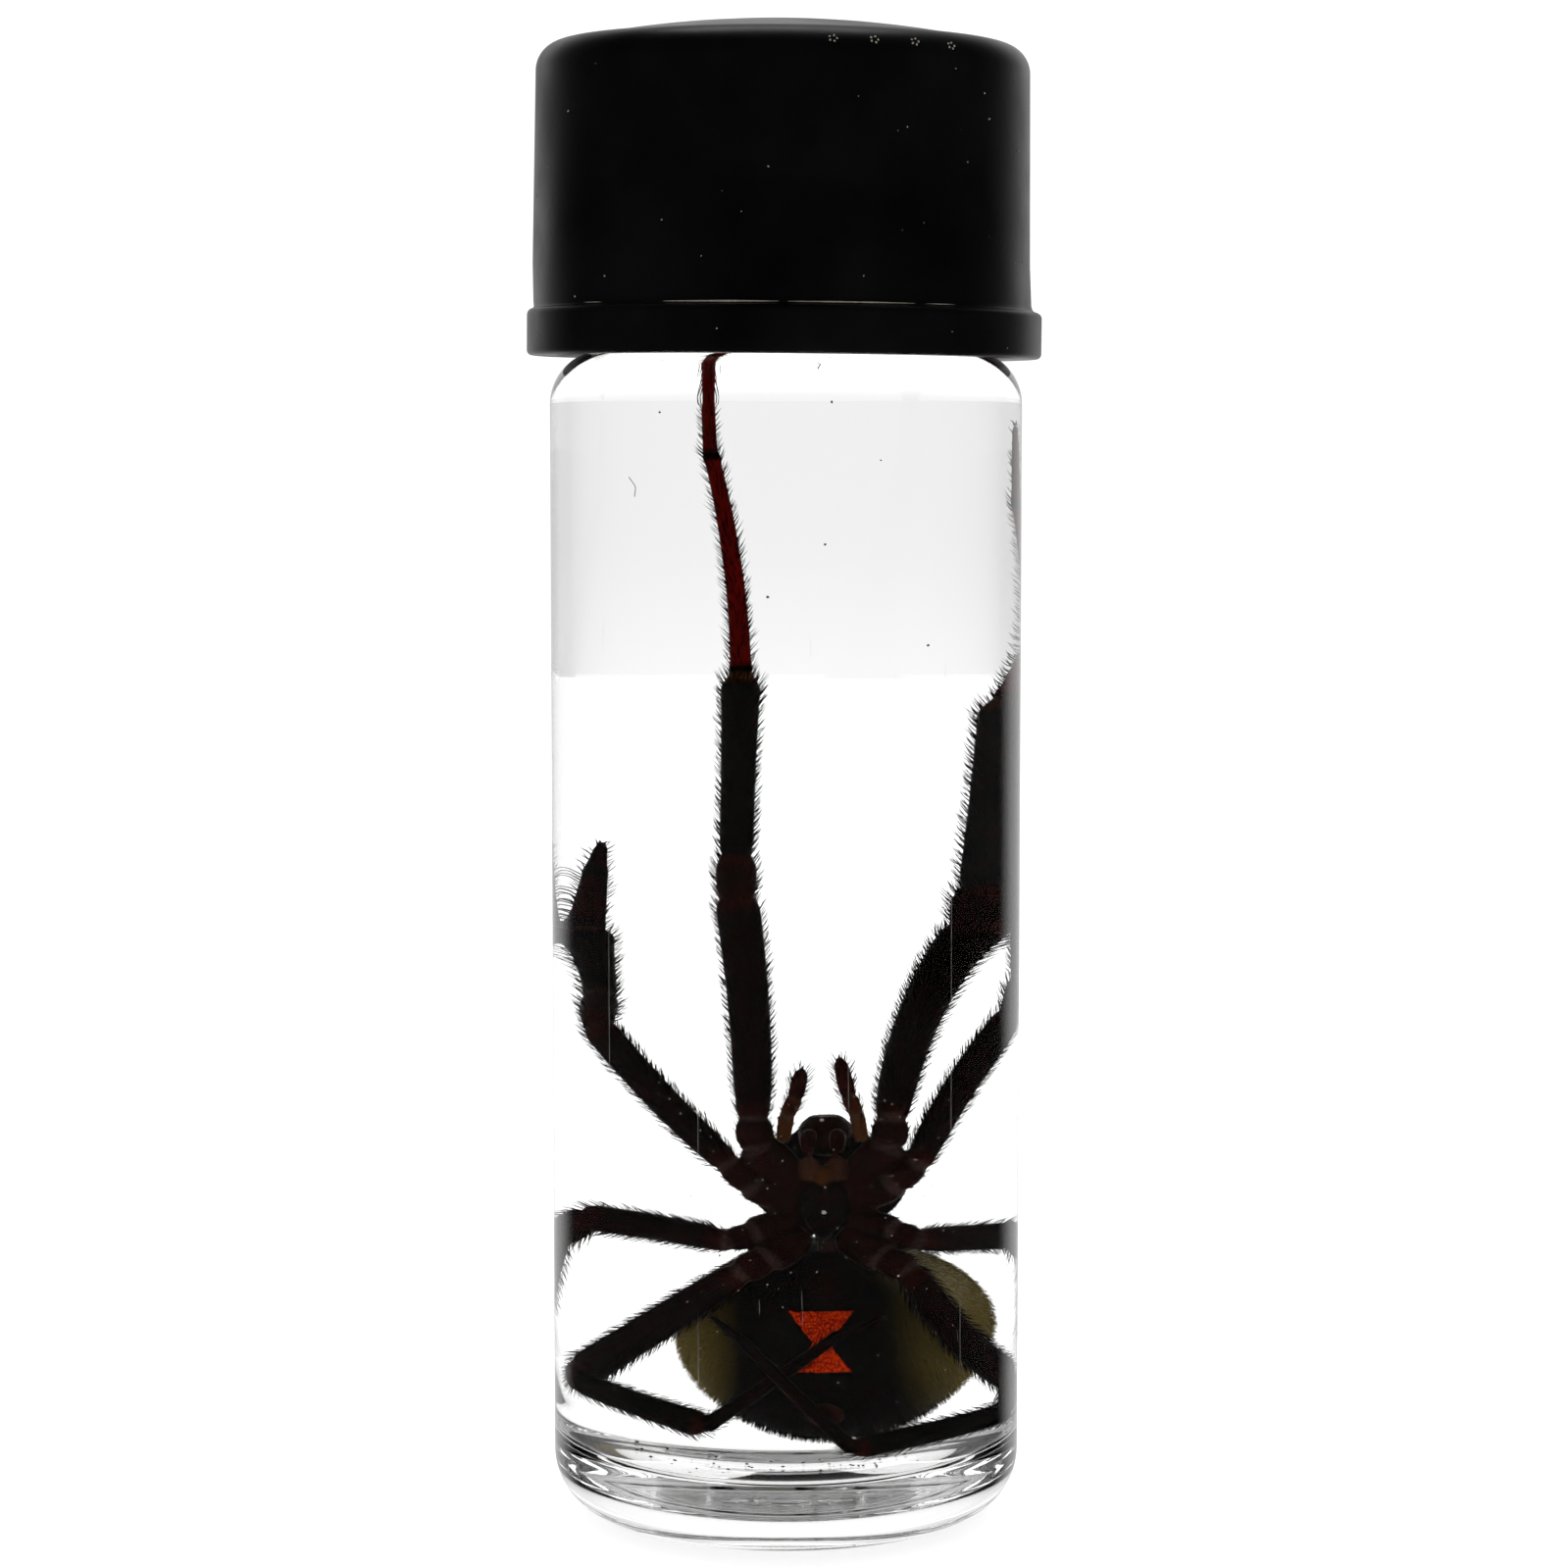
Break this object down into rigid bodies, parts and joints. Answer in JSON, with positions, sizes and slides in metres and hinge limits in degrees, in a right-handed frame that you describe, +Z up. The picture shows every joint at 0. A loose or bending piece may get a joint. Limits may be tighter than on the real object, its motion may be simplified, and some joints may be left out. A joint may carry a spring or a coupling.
{
  "type": "black widow spider specimen in a vial",
  "caption": "Life-size black widow spider kept in liquid in a capped glass vial, underside forward, legs folded along the glass.",
  "frame": {"origin": "centre of the vial's base, on the surface it stands on", "axes": "+Z up the vial towards the cap; the spider's underside faces -Y and its head is up, so its own right side is at -X"},
  "size_m": [0.0164, 0.0164, 0.0476],
  "materials": {
    "glass": "clear drawn glass, bright and smooth",
    "cap_plastic": "black moulded plastic, satin to glossy",
    "liner": "off-white foam liner, matte",
    "body_shell": "black to dark brown cuticle, satin, olive where thin",
    "leg_shell": "black-brown cuticle, red-brown at the joints, satin",
    "brown_shell": "brown translucent cuticle",
    "red_mark": "orange-red skin mark, matte"
  },
  "bodies": {
    "root": {"vial_glass": "glass", "cap": "cap_plastic", "cap_liner": "liner", "prosoma": "body_shell", "abdomen": "body_shell", "hourglass": "red_mark", "spinnerets": "brown_shell", "chelicera_right": "brown_shell", "chelicera_left": "brown_shell", "pedipalp_right": "brown_shell", "pedipalp_left": "brown_shell", "leg_1_right": "leg_shell", "leg_1_left": "leg_shell", "leg_2_right": "leg_shell", "leg_2_left": "leg_shell", "leg_3_right": "leg_shell", "leg_3_left": "leg_shell", "leg_4_right": "leg_shell", "leg_4_left": "leg_shell"}
  },
  "joints": []
}
